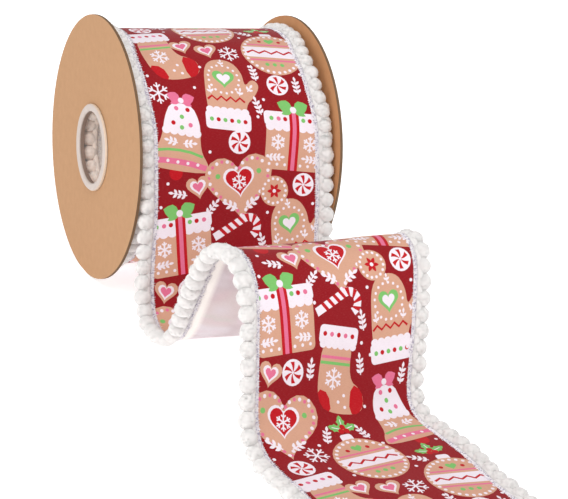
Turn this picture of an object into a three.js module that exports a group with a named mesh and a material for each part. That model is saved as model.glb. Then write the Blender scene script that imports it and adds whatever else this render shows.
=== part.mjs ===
import * as THREE from 'three';

// A spool of wide ribbon with pom-pom edges, standing on its two chipboard discs.
// The spool's axis lies along X. The loose end leaves the roll at the front, towards -Y,
// dips to the surface, rises into a crest and comes down to lie flat.
// Millimetres, +Z up, the surface that it stands on is z = 0.

// Spool
const DISC_RADIUS = 76.2;
const DISC_THICKNESS = 1.6;
const DISC_SPACING = 119.56;       // between the two inner faces
const FOOT_DEPTH = 0.3;            // how much of a disc's rim is flattened where it stands
const HUB_OPENING_RADIUS = 20.9;
const HUB_COLLAR_RADIUS = 22.3;
const HUB_RIM_RADIUS = 25.1;
const HUB_RIM_THICKNESS = 1.7;
const HUB_RIM_ROUNDING = 0.6;
const CLEARANCE = 0.3;             // between pieces that touch

// Ribbon
const RIBBON_WIDTH = 101.6;
const CLOTH_THICKNESS = 1;
const ROLL_RADIUS = 69;            // to the outside of the outermost turn
const ROLL_BORE_RADIUS = 22.5;
const TURN_STEP = 1.4;             // drop in radius over the outermost turn
const LEAVING_ANGLE = rad(30);     // above the roll's front, where the loose end starts
const TAIL_LENGTH = 458;

// Pom-pom trim
const POM_RADIUS = 4.1;
const POM_HALF_HEIGHT = 4;
const POM_PITCH = 8.4;
const POM_NECK = 0.5;              // the trim's section between two poms, as a share of a pom's
const WOUND_POMS = 52;             // poms on one turn at the outside of the roll
const WOUND_TRIM_BORE_RADIUS = 22;
const WOUND_TRIM_CORNER = 2.2;
const WOUND_TRIM_SCALLOP = 2.4;

// Folds of the loose end along each edge, from the roll to its cut end.
// start and span are lengths along the edge. turn is the change in slope, in degrees,
// and fall is the slope of the straight stretch that leaves the roll.
const LEFT_EDGE = {
  fall: -77.7,
  folds: {
    trough: { start: 88.1, span: 42.6, turn: 91.1 },
    rise: { start: 129.3, span: 44.8, turn: 47.5 },
    crest: { start: 209.2, span: 91.1, turn: -129.6 },
    foot: { start: 327.3, span: 49.5, turn: 67 },
  },
};
const RIGHT_EDGE = {
  fall: -74.1,
  folds: {
    trough: { start: 84.4, span: 53.6, turn: 93.2 },
    rise: { start: 136.3, span: 96.9, turn: 81.9 },
    crest: { start: 211.3, span: 62.3, turn: -172.9 },
    foot: { start: 319.1, span: 35, turn: 70.6 },
  },
};

// Sideways drift of the ribbon's middle line, by length from the start of the loose end.
const DRIFT = [
  { at: 44, x: 0 },
  { at: 95, x: -1.9 },
  { at: 222, x: -5.3 },
  { at: 266, x: -3.9 },
  { at: 342, x: -8.7 },
  { at: 400, x: -3.2 },
  { at: 458, x: 1.9 },
];

const AXIS_HEIGHT = DISC_RADIUS - FOOT_DEPTH;
const DISC_INNER_FACE = DISC_SPACING / 2;
const DISC_OUTER_FACE = DISC_INNER_FACE + DISC_THICKNESS;
const TAIL_RADIUS = ROLL_RADIUS - CLOTH_THICKNESS / 2;
const WOUND_TRIM_RADIUS = TAIL_RADIUS + POM_RADIUS;
const LYING_HEIGHT = POM_HALF_HEIGHT;

// Fineness of the shapes
const PATH_STEP = 0.5;
const TAIL_STEP = 8;
const TAIL_STRIPS = 4;             // across the ribbon
const ROLL_SIDES = 96;
const ROLL_BORE_SIDES = 48;
const DISC_SIDES = 72;
const HUB_SIDES = 40;

const CHIPBOARD = plainMaterial('chipboard', 0xd3a87f, 0.85);
const HUB_WHITE = plainMaterial('hub', 0xe9e4e0, 0.6);
const PRINTED_CLOTH = plainMaterial('cloth', 0xa0202c, 0.8);
const POM_YARN = plainMaterial('poms', 0xf2f0ee, 0.95);

function rad(degrees) {
  return degrees * Math.PI / 180;
}

function plainMaterial(name, color, roughness) {
  return new THREE.MeshStandardMaterial({ name, color, roughness, metalness: 0 });
}

// A soft step from 0 to 1.
function smooth(t) {
  const c = Math.min(Math.max(t, 0), 1);
  return c * c * (3 - 2 * c);
}

// Closed geometry from rings of points with the same count, with a flat cap at each end.
function loft(rings) {
  const count = rings[0].length;
  const positions = rings.flat().flatMap((p) => [p.x, p.y, p.z]);
  const index = [];
  for (let i = 0; i + 1 < rings.length; i += 1) {
    for (let j = 0; j < count; j += 1) {
      const a = i * count + j;
      const b = i * count + (j + 1) % count;
      index.push(a, b, b + count, a, b + count, a + count);
    }
  }
  const last = (rings.length - 1) * count;
  for (let j = 1; j + 1 < count; j += 1) {
    index.push(0, j + 1, j);
    index.push(last, last + j, last + j + 1);
  }
  return meshGeometry(positions, index);
}

// Closed geometry from rings of points that run round and meet the first one again.
function closedLoft(rings) {
  const count = rings[0].length;
  const positions = rings.flat().flatMap((p) => [p.x, p.y, p.z]);
  const index = [];
  for (let i = 0; i < rings.length; i += 1) {
    const next = (i + 1) % rings.length;
    for (let j = 0; j < count; j += 1) {
      const k = (j + 1) % count;
      index.push(i * count + j, i * count + k, next * count + k);
      index.push(i * count + j, next * count + k, next * count + j);
    }
  }
  return meshGeometry(positions, index);
}

// Closed geometry of a sheet from rows of points on its upper and its lower surface.
// Each row runs across from left to right, and the rows follow its length.
function sheetGeometry(upper, lower) {
  const rows = upper.length;
  const columns = upper[0].length;
  const positions = [upper, lower].flat(2).flatMap((p) => [p.x, p.y, p.z]);
  const top = (i, j) => i * columns + j;
  const under = (i, j) => (rows + i) * columns + j;
  const index = [];
  const quad = (a, b, c, d) => index.push(a, b, c, a, c, d);
  const right = columns - 1;
  const end = rows - 1;
  for (let i = 0; i < end; i += 1) {
    for (let j = 0; j < right; j += 1) {
      quad(top(i, j), top(i + 1, j), top(i + 1, j + 1), top(i, j + 1));
      index.push(under(i, j), under(i + 1, j + 1), under(i + 1, j));
      index.push(under(i, j), under(i, j + 1), under(i + 1, j + 1));
    }
    quad(top(i, 0), under(i, 0), under(i + 1, 0), top(i + 1, 0));
    quad(top(i, right), top(i + 1, right), under(i + 1, right), under(i, right));
  }
  for (let j = 0; j < right; j += 1) {
    quad(top(0, j), top(0, j + 1), under(0, j + 1), under(0, j));
    quad(top(end, j), under(end, j), under(end, j + 1), top(end, j + 1));
  }
  return meshGeometry(positions, index);
}

function meshGeometry(positions, index) {
  const geometry = new THREE.BufferGeometry();
  geometry.setAttribute('position', new THREE.Float32BufferAttribute(positions, 3));
  geometry.setIndex(index);
  geometry.computeVertexNormals();
  return geometry;
}

// Turns a shape drawn in (y, z) and extruded along its own z into one that runs along X.
function alongX(geometry) {
  const basis = new THREE.Matrix4().makeBasis(
    new THREE.Vector3(0, 1, 0),
    new THREE.Vector3(0, 0, 1),
    new THREE.Vector3(1, 0, 0),
  );
  return geometry.applyMatrix4(basis);
}

// The (y, z) point at an angle above the roll's front.
function onRoll(angle, radius) {
  return new THREE.Vector2(-radius * Math.cos(angle), AXIS_HEIGHT + radius * Math.sin(angle));
}

function circleHole(radius) {
  const hole = new THREE.Path();
  hole.absarc(0, AXIS_HEIGHT, radius, 0, 2 * Math.PI, true);
  return hole;
}

// A chipboard disc with the hole that its hub collar passes through and a small flat foot.
function discGeometry() {
  const footAngle = Math.acos(AXIS_HEIGHT / DISC_RADIUS);
  const shape = new THREE.Shape();
  const down = -Math.PI / 2;
  shape.absarc(0, AXIS_HEIGHT, DISC_RADIUS, down + footAngle, down - footAngle + 2 * Math.PI, false);
  shape.closePath();
  shape.holes.push(circleHole(HUB_COLLAR_RADIUS + CLEARANCE));
  const options = { depth: DISC_THICKNESS, bevelEnabled: false, curveSegments: DISC_SIDES / 2 };
  return alongX(new THREE.ExtrudeGeometry(shape, options));
}

// A hub ring: a collar as deep as the disc and a rim that lies on the disc's outer face.
// Its height 0 is the disc's outer face, and it grows outwards.
function hubGeometry() {
  const top = CLEARANCE + HUB_RIM_THICKNESS;
  const profile = [
    [HUB_OPENING_RADIUS, -DISC_THICKNESS],
    [HUB_COLLAR_RADIUS, -DISC_THICKNESS],
    [HUB_COLLAR_RADIUS, CLEARANCE],
    [HUB_RIM_RADIUS, CLEARANCE],
    [HUB_RIM_RADIUS, top - HUB_RIM_ROUNDING],
    [HUB_RIM_RADIUS - HUB_RIM_ROUNDING, top],
    [HUB_OPENING_RADIUS + HUB_RIM_ROUNDING, top],
    [HUB_OPENING_RADIUS, top - HUB_RIM_ROUNDING],
    [HUB_OPENING_RADIUS, -DISC_THICKNESS],
  ].map(([radius, height]) => new THREE.Vector2(radius, height));
  const geometry = new THREE.LatheGeometry(profile, HUB_SIDES);
  return geometry.rotateZ(-Math.PI / 2);
}

// The wound ribbon: the outermost turn, followed back from the loose end, drops by one step.
function woundRibbonGeometry() {
  const shape = new THREE.Shape();
  for (let i = 0; i <= ROLL_SIDES; i += 1) {
    const share = i / ROLL_SIDES;
    const angle = LEAVING_ANGLE - share * 2 * Math.PI;
    const point = onRoll(angle, ROLL_RADIUS - (1 - share) * TURN_STEP);
    if (i === 0) {
      shape.moveTo(point.x, point.y);
    } else {
      shape.lineTo(point.x, point.y);
    }
  }
  shape.closePath();
  shape.holes.push(circleHole(ROLL_BORE_RADIUS));
  const options = { depth: RIBBON_WIDTH, bevelEnabled: false, curveSegments: ROLL_BORE_SIDES / 2 };
  const geometry = new THREE.ExtrudeGeometry(shape, options);
  return alongX(geometry.translate(0, 0, -RIBBON_WIDTH / 2));
}

// The pom-poms of all the wound turns at one side: a thick ring with a scalloped rim.
function woundTrimGeometry(side) {
  const inner = side * (RIBBON_WIDTH / 2 + CLEARANCE);
  const outer = side * (DISC_INNER_FACE - CLEARANCE);
  const corner = side * WOUND_TRIM_CORNER;
  const rings = [];
  for (let i = 0; i < 2 * WOUND_POMS; i += 1) {
    const angle = side * i * Math.PI / WOUND_POMS;
    const rim = WOUND_TRIM_RADIUS - (i % 2) * WOUND_TRIM_SCALLOP;
    const section = [
      [inner, WOUND_TRIM_BORE_RADIUS],
      [inner, rim - WOUND_TRIM_CORNER],
      [inner + corner, rim],
      [outer - corner, rim],
      [outer, rim - WOUND_TRIM_CORNER],
      [outer, WOUND_TRIM_BORE_RADIUS],
    ];
    rings.push(section.map(([x, radius]) => {
      const point = onRoll(angle, radius);
      return new THREE.Vector3(x, point.x, point.y);
    }));
  }
  return closedLoft(rings);
}

// Slope of an edge at a length s from the start, in radians: 0 is level towards the front.
// It follows the roll until that is as steep as the fall, and each fold then turns it.
function slopeAt(edge, s) {
  const onTheRoll = LEAVING_ANGLE - Math.PI / 2 - s / TAIL_RADIUS;
  let slope = Math.max(onTheRoll, rad(edge.fall));
  for (const fold of Object.values(edge.folds)) {
    slope += rad(fold.turn) * smooth((s - fold.start) / fold.span);
  }
  return slope;
}

// The (y, z) points of an edge, one for each PATH_STEP of its length.
// What is left over in height is taken up along the descent, so that the end lies level.
function edgeProfile(edge) {
  const point = onRoll(LEAVING_ANGLE, TAIL_RADIUS);
  const profile = [point.clone()];
  for (let s = PATH_STEP / 2; s < TAIL_LENGTH; s += PATH_STEP) {
    const slope = slopeAt(edge, s);
    point.x -= PATH_STEP * Math.cos(slope);
    point.y += PATH_STEP * Math.sin(slope);
    profile.push(point.clone());
  }
  const { crest, foot } = edge.folds;
  const from = crest.start + crest.span / 2;
  const to = foot.start + foot.span;
  const excess = point.y - LYING_HEIGHT;
  profile.forEach((p, i) => {
    p.y -= excess * smooth((i * PATH_STEP - from) / (to - from));
    p.y = Math.max(p.y, LYING_HEIGHT);
  });
  return profile;
}

const LEFT_PROFILE = edgeProfile(LEFT_EDGE);
const RIGHT_PROFILE = edgeProfile(RIGHT_EDGE);

function profileAt(profile, s) {
  const i = Math.min(Math.floor(s / PATH_STEP), profile.length - 2);
  return profile[i].clone().lerp(profile[i + 1], s / PATH_STEP - i);
}

function driftAt(s) {
  const i = Math.max(DRIFT.findIndex((row) => row.at >= s), 1);
  const [before, after] = [DRIFT[i - 1], DRIFT[i]];
  const share = smooth((s - before.at) / (after.at - before.at));
  return before.x + (after.x - before.x) * share;
}

// The left and right edge points of the cloth's middle surface at a length s, one width apart.
function edgesAt(s) {
  const left = profileAt(LEFT_PROFILE, s);
  const right = profileAt(RIGHT_PROFILE, s);
  const half = Math.sqrt(RIBBON_WIDTH ** 2 - left.distanceToSquared(right)) / 2;
  const middle = driftAt(s);
  return {
    left: new THREE.Vector3(middle - half, left.x, left.y),
    right: new THREE.Vector3(middle + half, right.x, right.y),
  };
}

// One edge point with the direction across the ribbon, outwards, and the cloth's upper normal.
function edgeFrame(s, side) {
  const key = side < 0 ? 'left' : 'right';
  const { left, right } = edgesAt(s);
  const across = right.clone().sub(left).normalize();
  const before = edgesAt(Math.max(s - 1, 0))[key];
  const after = edgesAt(Math.min(s + 1, TAIL_LENGTH))[key];
  const along = after.sub(before).normalize();
  const normal = along.cross(across).normalize();
  return { point: side < 0 ? left : right, outward: across.multiplyScalar(side), normal };
}

// The loose end: a sheet through the left and right edges.
function tailGeometry() {
  const first = CLEARANCE;
  const steps = Math.round(TAIL_LENGTH / TAIL_STEP);
  const rowsOf = (face) => Array.from({ length: steps + 1 }, (_, i) => {
    const s = first + (TAIL_LENGTH - first) * i / steps;
    const [left, right] = [-1, 1].map((side) => {
      const { point, normal } = edgeFrame(s, side);
      return point.addScaledVector(normal, face * CLOTH_THICKNESS / 2);
    });
    return Array.from({ length: TAIL_STRIPS + 1 }, (_, j) => left.clone().lerp(right, j / TAIL_STRIPS));
  });
  return sheetGeometry(rowsOf(1), rowsOf(-1));
}

// How far a point is from the spool's axis.
function axisDistance(point) {
  return Math.hypot(point.y, point.z - AXIS_HEIGHT);
}

// The trim along one edge of the loose end: a comb of poms, from the first that is clear of
// the wound ones to the cut end. Its poms are flat where they rest.
function tailTrimGeometry(side) {
  const clearOfRoll = WOUND_TRIM_RADIUS + CLEARANCE + POM_RADIUS;
  let start = POM_PITCH;
  while (axisDistance(edgeFrame(start, side).point) < clearOfRoll) {
    start += POM_PITCH / 4;
  }
  const poms = Math.floor((TAIL_LENGTH - start) / POM_PITCH);
  const stations = [];
  for (let i = 0; i < poms; i += 1) {
    const middle = start + (i + 0.5) * POM_PITCH;
    stations.push([middle - POM_PITCH / 6, 1], [middle + POM_PITCH / 6, 1]);
    if (i + 1 < poms) {
      stations.push([middle + POM_PITCH / 2, POM_NECK]);
    }
  }
  const rings = stations.map(([s, size]) => {
    const { point, outward, normal } = edgeFrame(s, side);
    const wide = POM_RADIUS * size;
    const high = POM_HALF_HEIGHT * size;
    const centre = point.addScaledVector(outward, CLEARANCE + wide);
    const section = [[1, 0], [0.5, 1], [-0.5, 1], [-1, 0], [-0.5, -1], [0.5, -1]];
    if (side < 0) {
      section.reverse();
    }
    return section.map(([out, up]) => {
      const corner = centre.clone().addScaledVector(outward, out * wide).addScaledVector(normal, up * high);
      corner.z = Math.max(corner.z, 0);
      return corner;
    });
  });
  return loft(rings);
}

function piece(name, geometry, material) {
  const mesh = new THREE.Mesh(geometry, material);
  mesh.name = name;
  return mesh;
}

function spool() {
  const group = new THREE.Group();
  for (const [name, side] of [['left', -1], ['right', 1]]) {
    const disc = piece(`disc_${name}`, discGeometry(), CHIPBOARD);
    disc.position.x = side > 0 ? DISC_INNER_FACE : -DISC_OUTER_FACE;
    const hub = piece(`hub_${name}`, hubGeometry(), HUB_WHITE);
    hub.position.set(side * DISC_OUTER_FACE, 0, AXIS_HEIGHT);
    hub.rotation.z = side > 0 ? 0 : Math.PI;
    group.add(disc, hub);
  }
  return group;
}

function ribbon() {
  const group = new THREE.Group();
  group.add(piece('wound_ribbon', woundRibbonGeometry(), PRINTED_CLOTH));
  group.add(piece('tail_ribbon', tailGeometry(), PRINTED_CLOTH));
  for (const [name, side] of [['left', -1], ['right', 1]]) {
    group.add(piece(`wound_trim_${name}`, woundTrimGeometry(side), POM_YARN));
    group.add(piece(`tail_trim_${name}`, tailTrimGeometry(side), POM_YARN));
  }
  return group;
}

// The origin is on the surface, under the middle of the whole.
const assembly = new THREE.Group();
assembly.add(spool(), ribbon());
const box = new THREE.Box3().setFromObject(assembly);
const middle = box.getCenter(new THREE.Vector3());
assembly.position.set(-middle.x, -middle.y, 0);

const ribbonRoll = new THREE.Group();
ribbonRoll.add(assembly);

export default ribbonRoll;
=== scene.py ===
# Looks of a spool of wide Christmas ribbon with pom-pom edges, in metres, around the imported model.
import math

import bmesh
import bpy
import numpy as np
from mathutils import Matrix, Vector
from mathutils.geometry import delaunay_2d_cdt


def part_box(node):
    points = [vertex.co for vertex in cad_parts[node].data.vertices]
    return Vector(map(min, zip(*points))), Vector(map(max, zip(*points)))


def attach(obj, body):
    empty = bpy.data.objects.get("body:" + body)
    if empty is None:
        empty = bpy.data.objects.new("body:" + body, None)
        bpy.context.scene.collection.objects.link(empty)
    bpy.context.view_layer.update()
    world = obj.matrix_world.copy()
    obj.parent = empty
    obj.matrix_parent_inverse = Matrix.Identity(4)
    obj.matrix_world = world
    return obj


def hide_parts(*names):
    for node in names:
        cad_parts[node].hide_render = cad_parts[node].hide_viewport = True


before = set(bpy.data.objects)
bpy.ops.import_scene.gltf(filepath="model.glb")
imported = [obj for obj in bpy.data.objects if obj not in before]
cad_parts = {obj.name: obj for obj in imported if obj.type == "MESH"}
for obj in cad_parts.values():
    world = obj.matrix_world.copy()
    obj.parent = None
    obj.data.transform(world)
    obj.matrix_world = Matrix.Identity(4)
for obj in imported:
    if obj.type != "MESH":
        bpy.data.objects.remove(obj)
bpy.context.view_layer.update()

MM = 0.001
TURN = 2 * math.pi

# Spool, placed by its discs
DISC_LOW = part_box("disc_left")[0]
DISC_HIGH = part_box("disc_right")[1]
SPOOL_MIDDLE = (DISC_LOW + DISC_HIGH) / 2
DISC_RADIUS = 76.2 * MM
DISC_SPACING = 119.56 * MM  # between the two inner faces
AXIS_HEIGHT = 75.9 * MM
HUB_RADIUS = 25.1 * MM

# Ribbon, with the folds of its loose end as the model's source has them
RIBBON_WIDTH = 101.6 * MM
CLOTH_THICKNESS = 0.5 * MM
WEAVE_PITCH = 0.42 * MM
EDGE_BAND = 3.0  # width of the overlocked edge, in millimetres
BAND_LIMIT = 47.8  # from the middle line to that edge's inner side, in millimetres
TAIL_RADIUS = 68.5 * MM
TURN_STEP = 1.4 * MM  # drop in radius over the outermost turn
LEAVING_ANGLE = math.radians(30)
TAIL_LENGTH = 458 * MM
LYING_HEIGHT = 4 * MM
TURNS = 14
INNERMOST_RADIUS = 23.2 * MM
PATH_STEP = 0.5 * MM
ANGLES_IN_A_TURN = 200
DIRECTION_REACH = 0.4 * MM  # how far off the points are that give a direction

# The folds along each edge: where each starts and its length, in millimetres, and its turn in
# degrees. The fall is the slope of the straight stretch below the roll.
FOLDS = ("trough", "rise", "crest", "foot")
LEFT_EDGE = {
    "fall": -77.7,
    "trough": (88.1, 42.6, 91.1),
    "rise": (129.3, 44.8, 47.5),
    "crest": (209.2, 91.1, -129.6),
    "foot": (327.3, 49.5, 67),
}
RIGHT_EDGE = {
    "fall": -74.1,
    "trough": (84.4, 53.6, 93.2),
    "rise": (136.3, 96.9, 81.9),
    "crest": (211.3, 62.3, -172.9),
    "foot": (319.1, 35, 70.6),
}

# Tables by length from the start of the loose end, in millimetres: the sideways drift of the
# middle line, how far the poms lean to the print side, and how much larger those on the left are
DRIFT = [
    (-97, 0), (-62, -0.8), (-42, -2.9), (-20, -2.4), (8, -0.4), (44, 0),
    (95, -1.9), (222, -5.3), (266, -3.9), (342, -8.7), (400, -3.2), (458, 1.9),
]
POM_LEAN = [(80, 0), (108, 0.9), (150, 0.5), (200, -0.3), (250, -0.9), (300, -0.4), (350, 0)]
POM_SWELL = [(150, 1), (195, 1.12), (262, 1.1), (300, 1)]

# Pom-pom trim. A pom is wider across the ribbon than it is high
POM_PITCH = 8.4 * MM
POM_HALF = {"along": 4.45 * MM, "across": 4.5 * MM, "high": 3.7 * MM}
POM_SEAT = 49.9 * MM  # from the middle line to where the poms start
POM_UNEVEN = (0.96, 1.05)  # the smallest and the largest, as shares of the usual size

# Soft creases of the loose end, in millimetres: where the middle of each lies along and across,
# its half length and half width, its turn from straight across in degrees, and its height
CREASES = [
    (70, 22, 26, 9, 14, 0.5),
    (112, -8, 34, 7, -6, -0.7),
    (160, -14, 24, 10, 12, 0.6),
    (186, 26, 30, 9, -10, -0.6),
    (238, 30, 24, 8, 22, 0.7),
    (262, -24, 28, 9, -16, 0.6),
    (300, 10, 36, 10, 8, -0.6),
    (338, 34, 22, 8, -18, -0.8),
    (356, -28, 30, 9, 10, -0.7),
    (408, 16, 34, 12, 16, 0.5),
]
# Waves of the loose end's two edges, out of its surface
WAVE_START = 50 * MM
WAVE_LENGTH = 74 * MM
WAVE_HEIGHT = 0.5 * MM
WAVE_WIDTH = 16 * MM

# Camera, from the middle of the spool, on the surface that it stands on
CAMERA_FROM_SPOOL = Vector((-0.40857, -0.942644, 0.40656))
CAMERA_YAW = math.radians(26.88)
CAMERA_PITCH = math.radians(-20.78)
CAMERA_ROLL = math.radians(7.14)
CAMERA_LENS = 115.364
CAMERA_SENSOR = 36


def add_object(name, data):
    made = bpy.data.objects.new(name, data)
    bpy.context.scene.collection.objects.link(made)
    return made


def make_camera():
    data = bpy.data.cameras.new("camera")
    data.lens = CAMERA_LENS
    data.sensor_width = CAMERA_SENSOR
    data.clip_start = 0.01
    data.clip_end = 100
    camera = add_object("camera", data)
    place = Vector((SPOOL_MIDDLE.x, SPOOL_MIDDLE.y, 0)) + CAMERA_FROM_SPOOL
    camera.matrix_world = (
        Matrix.Translation(place) @ Matrix.Rotation(-CAMERA_YAW, 4, "Z")
        @ Matrix.Rotation(math.pi / 2 + CAMERA_PITCH, 4, "X") @ Matrix.Rotation(CAMERA_ROLL, 4, "Z")
    )
    bpy.context.scene.camera = camera


make_camera()


# The ribbon's surface, by length s along it and place w across it


def smooth(t):
    """A soft step from 0 to 1."""
    c = np.clip(t, 0, 1)
    return c * c * (3 - 2 * c)


def unit(vectors):
    """Vectors in rows, each at length 1."""
    return vectors / np.linalg.norm(vectors, axis=1)[:, None]


def point_at(path, lengths, s):
    """The points of a flat path at lengths s, as two rows of numbers."""
    return np.array([np.interp(s, lengths, path[:, k]) for k in (0, 1)])


def slope_at(edge, s):
    """Slope of an edge of the loose end: 0 is level towards the front."""
    on_the_roll = LEAVING_ANGLE - math.pi / 2 - s / TAIL_RADIUS
    slope = np.maximum(on_the_roll, math.radians(edge["fall"]))
    for start, span, turn in (edge[fold] for fold in FOLDS):
        slope = slope + math.radians(turn) * smooth((s - start * MM) / (span * MM))
    return slope


def edge_profile(edge):
    """The (y, z) points of an edge of the loose end, one for each PATH_STEP of its length."""
    slope = slope_at(edge, np.arange(PATH_STEP / 2, TAIL_LENGTH, PATH_STEP))
    steps = PATH_STEP * np.stack([-np.cos(slope), np.sin(slope)], axis=1)
    start = TAIL_RADIUS * np.array([-math.cos(LEAVING_ANGLE), math.sin(LEAVING_ANGLE)])
    profile = start + [0, AXIS_HEIGHT] + np.vstack([[0, 0], np.cumsum(steps, axis=0)])
    (crest, crest_span, _), (foot, foot_span, _) = edge["crest"], edge["foot"]
    first = crest * MM + crest_span * MM / 2
    last = foot * MM + foot_span * MM
    s = PATH_STEP * np.arange(len(profile))
    profile[:, 1] -= (profile[-1, 1] - LYING_HEIGHT) * smooth((s - first) / (last - first))
    profile[:, 1] = np.maximum(profile[:, 1], LYING_HEIGHT)
    return profile


LEFT_PROFILE = edge_profile(LEFT_EDGE)
RIGHT_PROFILE = edge_profile(RIGHT_EDGE)

INNER_STEP = (TAIL_RADIUS - TURN_STEP - INNERMOST_RADIUS) / (TURNS - 1)
WOUND_ANGLES = np.linspace(0, TURNS * TURN, ANGLES_IN_A_TURN * TURNS)


def wound_radius(turned):
    """Radius of the wound ribbon at an angle back from where the loose end leaves the roll."""
    outermost = np.minimum(turned, TURN)
    return TAIL_RADIUS - (TURN_STEP * outermost + INNER_STEP * (turned - outermost)) / TURN


WOUND_RADII = wound_radius(WOUND_ANGLES)
WOUND_STEPS = (WOUND_RADII[1:] + WOUND_RADII[:-1]) / 2 * np.diff(WOUND_ANGLES)
WOUND_LENGTHS = np.concatenate([[0], np.cumsum(WOUND_STEPS)])
WOUND_LENGTH = float(WOUND_LENGTHS[-1])
LAP_LENGTH = float(np.interp(TURN, WOUND_ANGLES, WOUND_LENGTHS))


def soft_table(table, s, unit=1):
    """The value of a table at lengths s, in its unit, with soft steps from row to row."""
    at, x = np.array(table, float).T
    at, x = at * MM, x * unit
    i = np.clip(np.searchsorted(at, s), 1, len(table) - 1)
    return x[i - 1] + (x[i] - x[i - 1]) * smooth((s - at[i - 1]) / (at[i] - at[i - 1]))


def edges_at(s):
    """Left and right edge points of the ribbon's middle surface at lengths s, as arrays of points."""
    turned = np.interp(-s, WOUND_LENGTHS, WOUND_ANGLES)
    radius = wound_radius(turned)
    wound = np.stack([
        -radius * np.cos(LEAVING_ANGLE + turned),
        AXIS_HEIGHT + radius * np.sin(LEAVING_ANGLE + turned),
    ], axis=1)
    at = np.arange(len(LEFT_PROFILE)) * PATH_STEP
    sides = []
    for profile in (LEFT_PROFILE, RIGHT_PROFILE):
        sides.append(np.where((s < 0)[:, None], wound, point_at(profile, at, s).T))
    left, right = sides
    half = np.sqrt(RIBBON_WIDTH ** 2 - ((left - right) ** 2).sum(axis=1)) / 2
    middle = soft_table(DRIFT, s, MM)
    offset = np.array([SPOOL_MIDDLE.x, SPOOL_MIDDLE.y, 0])
    return (
        np.column_stack([middle - half, left]) + offset,
        np.column_stack([middle + half, right]) + offset,
    )


def even_surface(s, w):
    """Points of the ribbon's middle surface, without its creases."""
    left, right = edges_at(s)
    return left + (right - left) * (w / RIBBON_WIDTH + 0.5)[:, None]


def directions(points_at, s, w):
    """The unit directions along, across and out of the print side of a surface."""
    last = np.minimum(s + DIRECTION_REACH, TAIL_LENGTH)
    along = unit(points_at(last, w) - points_at(s - DIRECTION_REACH, w))
    across = unit(points_at(s, w + DIRECTION_REACH) - points_at(s, w - DIRECTION_REACH))
    return along, across, unit(np.cross(along, across))


def unevenness(s, w):
    """How far the cloth stands out of its even surface, from its creases and waving edges."""
    high = np.zeros(len(s))
    for at, across, half_length, half_width, turn, height in CREASES:
        turn = math.radians(turn)
        ds, dw = s - at * MM, w - across * MM
        long = (dw * math.cos(turn) + ds * math.sin(turn)) / (half_length * MM)
        wide = (ds * math.cos(turn) - dw * math.sin(turn)) / (half_width * MM)
        high += height * MM * np.exp(-long ** 2 - wide ** 2)
    near_edge = np.exp(-((RIBBON_WIDTH / 2 - np.abs(w)) / WAVE_WIDTH) ** 2)
    wave = np.sin(TURN * s / WAVE_LENGTH + np.sign(w))
    return high + WAVE_HEIGHT * near_edge * wave * smooth((s - WAVE_START) / WAVE_LENGTH)


def surface(s, w):
    """Points of the cloth's middle surface."""
    points = even_surface(s, w)
    loose = s > 0
    if loose.any():
        out = directions(even_surface, s[loose], w[loose])[2]
        points[loose] += out * unevenness(s[loose], w[loose])[:, None]
    return points


def cloth_frame(s, w):
    """Points of the middle surface, and there the directions along, across and out of the print side."""
    return surface(s, w), *directions(surface, s, w)


# Materials


def linear(*screen):
    """A colour from its 0 to 255 screen values of red, green and blue."""
    shares = [value / 255 for value in screen]
    return (*[c / 12.92 if c <= 0.04045 else ((c + 0.055) / 1.055) ** 2.4 for c in shares], 1.0)


class Material:
    """A material's node tree, with short calls to add nodes.

    Inputs are numbers, colours or other nodes' outputs.
    """

    def __init__(self, name):
        self.material = bpy.data.materials.new(name)
        self.material.use_nodes = True
        self.tree = self.material.node_tree
        self.bsdf = self.tree.nodes["Principled BSDF"]

    def node(self, kind, inputs=None, **settings):
        made = self.tree.nodes.new("ShaderNode" + kind)
        for key, value in settings.items():
            setattr(made, key, value)
        for key, value in (inputs or {}).items():
            self.put(made.inputs[key], value)
        return made

    def put(self, socket, value):
        if isinstance(value, bpy.types.NodeSocket):
            self.tree.links.new(value, socket)
        else:
            socket.default_value = value

    def math(self, operation, first, second=0.0):
        return self.node("Math", {0: first, 1: second}, operation=operation).outputs[0]

    def mix(self, share, first, second):
        return self.node("Mix", {0: share, 6: first, 7: second}, data_type="RGBA").outputs[2]

    def ramp(self, value, low, high, to_low=0.0, to_high=1.0):
        return self.node("MapRange", {0: value, 1: low, 2: high, 3: to_low, 4: to_high}).outputs[0]

    def tint(self, color, value, low, high, share, tint):
        """A colour mixed with a tint, by up to a share where a value goes from low to high."""
        return self.mix(self.ramp(value, low, high, 0.0, share), color, tint)

    def at(self):
        """Places on the object, in metres."""
        return self.node("TexCoord").outputs["Object"]

    def scaled(self, vector, scale):
        return self.node("VectorMath", {0: vector, 1: scale}, operation="MULTIPLY").outputs[0]

    def place(self, scale=(1, 1, 1)):
        return self.scaled(self.at(), scale)

    def parts(self, vector):
        return self.node("SeparateXYZ", {0: vector}).outputs

    def noise(self, vector, scale, detail, roughness=0.55):
        values = {"Vector": vector, "Scale": scale, "Detail": detail, "Roughness": roughness}
        return self.node("TexNoise", values).outputs[0]

    def bump(self, height, distance, strength=1.0):
        made = self.node("Bump", {"Height": height, "Distance": distance, "Strength": strength})
        self.put(self.bsdf.inputs["Normal"], made.outputs[0])

    def finish(self, color, roughness, **fixed):
        self.put(self.bsdf.inputs["Base Color"], color)
        self.put(self.bsdf.inputs["Roughness"], roughness)
        for key, value in fixed.items():
            self.bsdf.inputs[key.replace("_", " ").title().replace("Ior", "IOR")].default_value = value
        return self.material


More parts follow.
